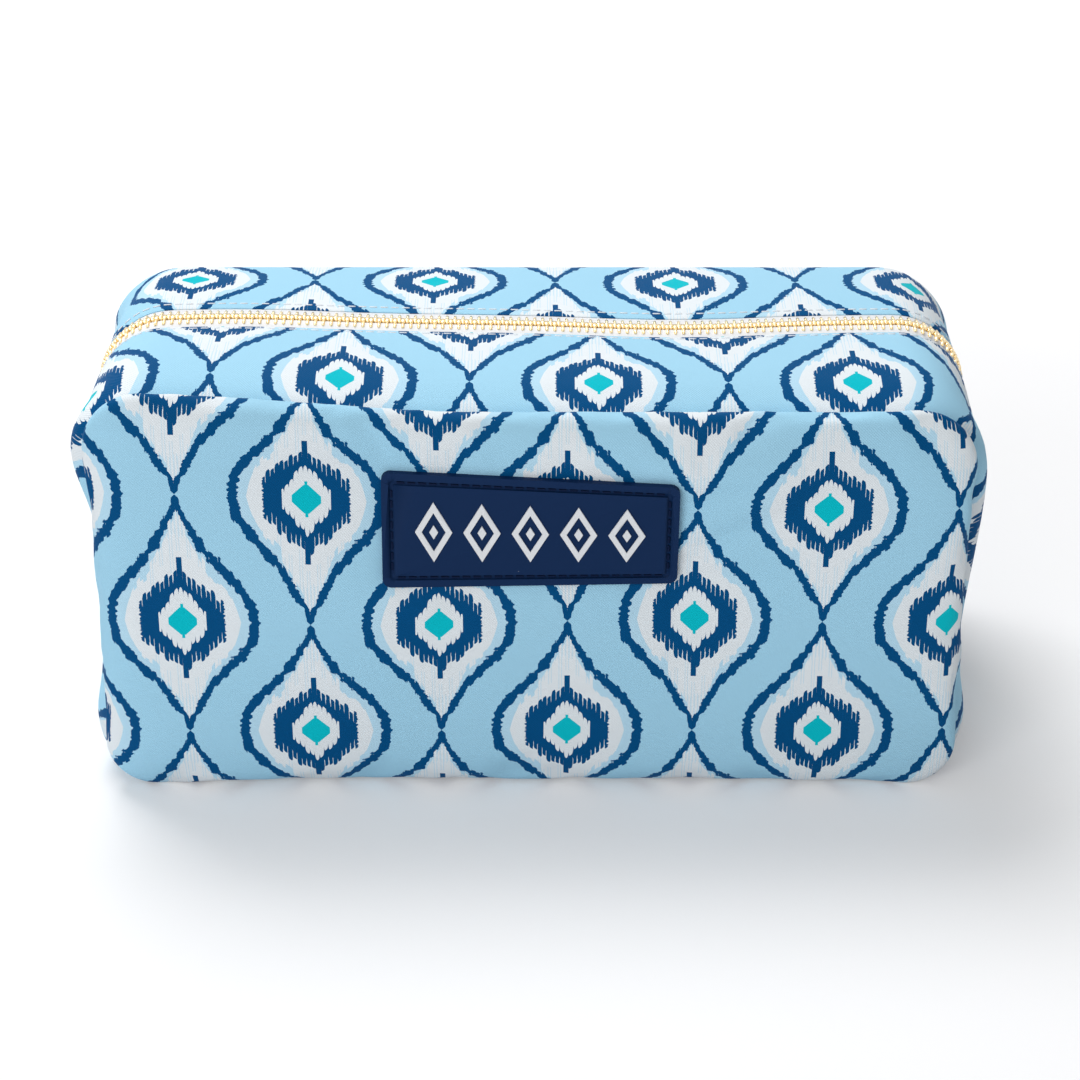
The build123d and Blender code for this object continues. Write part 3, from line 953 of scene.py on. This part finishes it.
lining_end_bulge = [(50.6, -1.6), (40.0, -0.6), (20.0, 1.5), (0.0, 3.6)]
lining_bottom_bulge = [(50.6, -1.6), (0.0, -1.6)]
lining_across = [-52.0, -51.2] + [s for s in base_across if abs(s) < 50.5] + [51.2, 52.0]
base_lining = make_cloth(
    "base_lining_cloth",
    [
        [base_place(run, y, lining_end_bulge, lining_bottom_bulge, 0) for y in lining_across]
        for run in base_lines
    ],
    [[(run, y) for y in lining_across] for run in base_lines],
    lining_material,
)
thicken(base_lining, lining_thick)
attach(base_lining, "bag")
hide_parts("base_lining")

lining_rise = [(0.4, -1.6), (20.0, -1.7), (38.0, -1.5), (41.5, -0.9), (43.3, -0.2)]
lining_runs = [-2.0, -0.8, 0.4, 4, 8, 12, 16, 20, 24, 28, 32, 36, 39, 41, 42.4, 43.3]


def half_strip(name, side, hand, runs, rise_points, material, turned):
    """Half of a cloth that runs along the zip, from the middle of the top down to a cross seam."""
    stations = half_stations(hand)
    rises = [read_at(rise_points, run) for run in runs]
    places = [
        [strip_place(side, station, run, rise) for run, rise in zip(runs, rises)]
        for station in stations
    ]
    flat = [[(station, run) for run in runs] for station in stations]
    return make_cloth(name, places, flat, material, turned)


# At the seam the back strip's lining lies lower, behind the sunk back panel
for side, side_name, seam_rise in ((-1, "front", -1.6), (1, "back", -3.6)):
    for hand, hand_name in hands:
        lining = half_strip(
            f"{side_name}_strip_lining_{hand_name}", side, hand,
            lining_runs, [(-2.0, seam_rise)] + lining_rise, lining_material, side < 0,
        )
        thicken(lining, lining_thick)
        follow_flap(lining)
        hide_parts(f"{side_name}_strip_lining", f"{hand_name}_end_lining")


# Seam bindings
# A ribbed white tape, folded over the raw edges of each panel's seam and sewn through. It goes all
# the way round inside the bag.

binding_material = woven_material("ribbed_binding", lining_white, 1.1, 0.8, 0.00008)
binding_inset = 3.6
binding_seat = 51.85
binding_sag = top_sag - 2.6
binding_grid = 6
corner_steps = 8
# The folded tape's section: inward from its outer edge, and up from the panel
binding_section = [
    (0.0, 0.3), (0.4, 1.2), (1.4, 1.6), (3.5, 1.45), (5.8, 1.6), (6.7, 1.1), (7.0, 0.3), (6.6, 0.0),
    (3.5, 0.0), (0.4, 0.0), (0.0, 0.3),
]
half = seam_half_width - binding_inset
low = binding_inset
high = seam_top - binding_inset
upper_radius = seam_top_radius - binding_inset
lower_radius = seam_bottom_radius - binding_inset
outline = []
for edge_x, edge_z, radius, start in (
    (half, high, upper_radius, 0), (-half, high, upper_radius, 90),
    (-half, low, lower_radius, 180), (half, low, lower_radius, 270),
):
    centre_x = edge_x - math.copysign(radius, edge_x)
    centre_z = edge_z - (radius if edge_z == high else -radius)
    for step in range(corner_steps + 1):
        turn = math.radians(start + 90 * step / corner_steps)
        outline.append((centre_x, centre_z, radius, turn))
path = []
for (x0, z0, r0, t0), (x1, z1, r1, _) in zip(outline, outline[1:] + outline[:1]):
    path.append((x0, z0, r0, t0))
    gap = math.hypot(x1 - x0, z1 - z0)
    if gap > 1:
        count = round(gap / binding_grid)
        for step in range(1, count):
            part = step / count
            path.append((x0 + part * (x1 - x0), z0 + part * (z1 - z0), r0 + part * (r1 - r0), t0))
path.append(path[0])
for side, side_name in sides:
    places = []
    flat = []
    run = 0.0
    for index, (x, z, radius, turn) in enumerate(path):
        column = []
        for inward, lift in binding_section:
            reach = radius - inward
            out = side * (binding_seat - lift)
            column.append(Vector((x + reach * math.cos(turn), out, z + reach * math.sin(turn))))
        places.append(column)
        if index:
            run += (column[0] - places[-2][0]).length
        flat.append([(run, inward + lift) for inward, lift in binding_section])
    binding = make_cloth(f"{side_name}_binding_tape", places, flat, binding_material, side > 0)
    pick_only(binding)
    bpy.ops.object.mode_set(mode="EDIT")
    bpy.ops.mesh.select_all(action="SELECT")
    bpy.ops.mesh.remove_doubles(threshold=0.00001)
    bpy.ops.mesh.normals_make_consistent(inside=False)
    bpy.ops.object.mode_set(mode="OBJECT")
    if side > 0:
        sag_at_top(binding, binding_sag)
    bpy.ops.object.shade_smooth_by_angle(angle=smooth_angle)
    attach(binding, "bag")
    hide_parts(f"{side_name}_seam_binding")


# Zip tape
# Two white woven tapes with a thick corded edge, sewn in under the folded edges of the zip strips.
# The teeth are clamped on the corded edges.

tape_thick = 0.6
tape_material = woven_material("white_zip_tape", (0.82, 0.83, 0.85, 1), 0.7, 0.8, 0.00006)
tape_rise = [(36.3, 0.8), (45.6, 0.8), (46.8, 0.95), (48.2, 1.1), (49.0, 0.95), (49.5, 0.4)]
tape_runs = [36.3, 39.0, 41.5, 43.5, 44.8, 45.8, 46.8, 47.6, 48.3, 49.0, 49.5]
for side, side_name in sides:
    for hand, hand_name in hands:
        tape = half_strip(
            f"{side_name}_zip_tape_{hand_name}", side, hand,
            tape_runs, tape_rise, tape_material, side > 0,
        )
        thicken(tape, tape_thick)
        follow_flap(tape)
        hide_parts(f"{side_name}_zip_tape", f"{hand_name}_end_tape")


# Zip teeth
# Pale gold metal teeth, stamped and clamped on the corded edges of the tapes. Those of one side lock
# between those of the other, and each has a thin leg on the tape and a thicker head.

tooth_pitch = 2.25
tooth_middle = 0.5
chain_end_height = 49.6
gold_light = (0.90, 0.74, 0.46, 1)
gold_deep = (0.66, 0.40, 0.14, 1)


def gold_metal():
    """Polished pale gold plating, a little deeper in tone where it isn't rubbed."""
    material, tree, output = blank_material("pale_gold")
    metal = add(tree, "BsdfPrincipled", Metallic=1.0)
    coordinate = add(tree, "TexCoord")
    cloud = noise(tree, coordinate.outputs["Object"], scale=900.0)
    colour = over(tree, gold_light, gold_deep, calc("MULTIPLY", cloud, 0.25))
    join(colour, metal.inputs["Base Color"])
    rough = calc("MULTIPLY_ADD", cloud, 0.14, 0.20)
    join(rough, metal.inputs["Roughness"])
    join(metal.outputs[0], output.inputs["Surface"])
    return material


gold_material = gold_metal()


def rounded_block(size, place, bevel):
    """A block of a size at a place, its edges rounded over, in millimetres."""
    bpy.ops.object.select_all(action="DESELECT")
    bpy.ops.mesh.primitive_cube_add(size=1)
    block = bpy.context.object
    block.scale = size
    block.location = place
    bpy.ops.object.transform_apply(location=True, rotation=False, scale=True)
    edge = block.modifiers.new("edge", "BEVEL")
    edge.width = bevel
    edge.segments = 1
    edge.limit_method = "NONE"
    bpy.ops.object.modifier_apply(modifier="edge")
    return block


def take_mesh(parts):
    """Corners and faces of some small models joined into one, which are then cleared away."""
    corners = []
    faces = []
    for part in parts:
        start = len(corners)
        corners += [vertex.co.copy() for vertex in part.data.vertices]
        faces += [[start + index for index in face.vertices] for face in part.data.polygons]
        bpy.data.objects.remove(part)
    return corners, faces


def row_along_zip(name, model, side, stations, material):
    """Copies of a small model along the zip in one mesh. Its X is along the zip, Y towards the zip's
    middle and Z outward."""
    model_corners, model_faces = model
    corners = []
    faces = []
    for station in stations:
        start = len(corners)
        corners += [strip_place(side, station + c.x, c.y, c.z) * 0.001 for c in model_corners]
        for face in model_faces:
            indices = [start + index for index in face]
            faces.append(indices[::-1] if side > 0 else indices)
    piece = mesh_piece(name, corners, faces, material)
    pick_only(piece)
    bpy.ops.object.shade_smooth_by_angle(angle=smooth_angle)
    return piece


tooth_leg = rounded_block(size=(0.85, 2.9, 2.2), place=(0, 47.7, tooth_middle), bevel=0.3)
tooth_head = rounded_block(size=(1.12, 2.2, 2.0), place=(0, 50.0, tooth_middle + 0.15), bevel=0.24)
tooth_model = take_mesh([tooth_leg, tooth_head])
last_tooth = corner_x + strip_arc + corner_height - chain_end_height - 0.5
tooth_count = int(last_tooth / tooth_pitch)
for side, side_name, stagger in ((-1, "front", 0.0), (1, "back", tooth_pitch / 2)):
    stations = [i * tooth_pitch + stagger for i in range(-tooth_count - 1, tooth_count + 1)]
    stations = [station for station in stations if abs(station) <= last_tooth]
    for hand, hand_name in hands:
        own = [s for s in stations if (s > 0) == (hand > 0)]
        row = row_along_zip(f"{side_name}_teeth_{hand_name}", tooth_model, side, own, gold_material)
        follow_flap(row)
        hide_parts(f"{side_name}_zip_teeth", f"{hand_name}_end_teeth")


# Zip stops
# Small gold clamps below the last teeth at each end, one on each tape at the right and a single one
# over both at the left.



def in_gold(name):
    """Shows a piece as the solids have it, in gold."""
    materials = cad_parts[name].data.materials
    materials.clear()
    materials.append(gold_material)


in_gold("zip_top_stops")
in_gold("zip_bottom_stop")


# Topstitching
# White thread in a row beside each folded edge, through cloth, wadding and zip tape. Each stitch lies
# half sunk in the padded cloth.

stitch_length = 2.2
stitch_width = 0.5
stitch_height = 0.36
stitch_lift = 0.02
stitch_pitch = 3.1
stitch_run = 42.0
unsewn_end = 4
thread_material, tree, output = blank_material("white_thread")
thread = add(tree, "BsdfPrincipled", Roughness=0.6)
coordinate = add(tree, "TexCoord")
ply = add(tree, "TexWave", Scale=900.0)
ply.bands_direction = "DIAGONAL"
join(coordinate.outputs["Object"], ply.inputs["Vector"])
thread_colour = over(tree, (0.80, 0.84, 0.88, 1), (0.62, 0.68, 0.74, 1), ply.outputs["Fac"])
join(thread_colour, thread.inputs["Base Color"])
join(thread.outputs[0], output.inputs["Surface"])
for side, side_name, rise_points in ((-1, "front", front_strip_rise), (1, "back", back_strip_rise)):
    row_run = stitch_run - back_fold_shift * (side > 0)
    level = read_at(rise_points, row_run) + stitch_lift
    stitch = rounded_block((stitch_length, stitch_width, stitch_height), (0, row_run, level), 0.14)
    stitch_model = take_mesh([stitch])
    count = int((strip_end - unsewn_end) / stitch_pitch)
    stations = [(i + 0.5) * stitch_pitch for i in range(count)]
    for hand, hand_name in hands:
        own = [hand * station for station in stations]
        row = row_along_zip(f"{side_name}_stitches_{hand_name}", stitch_model, side, own, thread_material)
        follow_flap(row)
        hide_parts(f"{side_name}_topstitching")


# Slider and pull tab
# A cast and gold plated slider with a bridge over it, parked at the right end, and a stamped tab that
# hangs from the bridge.

in_gold("zip_slider")
in_gold("zip_pull_tab")


# Label
# A soft moulded rubber patch with a raised rim, sewn on through the groove inside it with navy thread.
# Plain white lozenges stand on it, moulded in one with it.


def moulded_rubber(name, colour, roughness):
    """Soft moulded rubber: satin, with a faint grain and a few pale specks of dust."""
    material, tree, output = blank_material(name)
    rubber = add(tree, "BsdfPrincipled", Roughness=roughness, Specular_IOR_Level=0.1)
    coordinate = add(tree, "TexCoord")
    grain = noise(tree, coordinate.outputs["Object"], scale=1400.0)
    bump = add(tree, "Bump", Strength=0.25, Distance=0.00002)
    join(grain, bump.inputs["Height"])
    join(bump.outputs[0], rubber.inputs["Normal"])
    specks = add(tree, "TexVoronoi", Scale=160.0)
    join(coordinate.outputs["Object"], specks.inputs["Vector"])
    speck = calc("LESS_THAN", specks.outputs["Distance"], 0.022)
    dusty = calc("MULTIPLY", speck, 0.35)
    join(over(tree, colour, (0.45, 0.50, 0.58, 1), dusty), rubber.inputs["Base Color"])
    join(rubber.outputs[0], output.inputs["Surface"])
    return material


label_tilt = 0.022
label_left = -0.040
# Cuts across the label in millimetres, so that it can follow the leaning panel
label_cuts = range(-36, 40, 6)
navy_rubber = moulded_rubber("navy_rubber", (0.004, 0.022, 0.080, 1), 0.6)
navy_thread = moulded_rubber("navy_thread", (0.002, 0.009, 0.040, 1), 0.7)
white_rubber = moulded_rubber("white_rubber", (0.78, 0.80, 0.83, 1), 0.5)
for node_name, name, slot_name, material in (
    ("label_patch", "leaning_patch", "label_rubber", navy_rubber),
    ("label_stitching", "leaning_stitches", "label_thread", navy_thread),
    ("label_lozenges", "leaning_lozenges", "label_white", white_rubber),
):
    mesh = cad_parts[node_name].data.copy()
    piece = show(name, mesh)
    pick_only(piece)
    bpy.ops.object.mode_set(mode="EDIT")
    bpy.ops.mesh.select_all(action="SELECT")
    bpy.ops.mesh.remove_doubles(threshold=0.000005)
    for cut in label_cuts:
        bpy.ops.mesh.select_all(action="SELECT")
        bpy.ops.mesh.bisect(plane_co=(cut / 1000, 0, 0), plane_no=(1, 0, 0))
    bpy.ops.object.mode_set(mode="OBJECT")
    for corner in mesh.vertices:
        corner.co.y += 0.001 * front_lean(corner.co.x * 1000, corner.co.z * 1000)
        corner.co.z -= label_tilt * (corner.co.x - label_left)
    mesh.materials.clear()
    mesh.materials.append(material)
    bpy.ops.object.shade_smooth_by_angle(angle=math.radians(35))
    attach(piece, "bag")
    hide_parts(node_name)
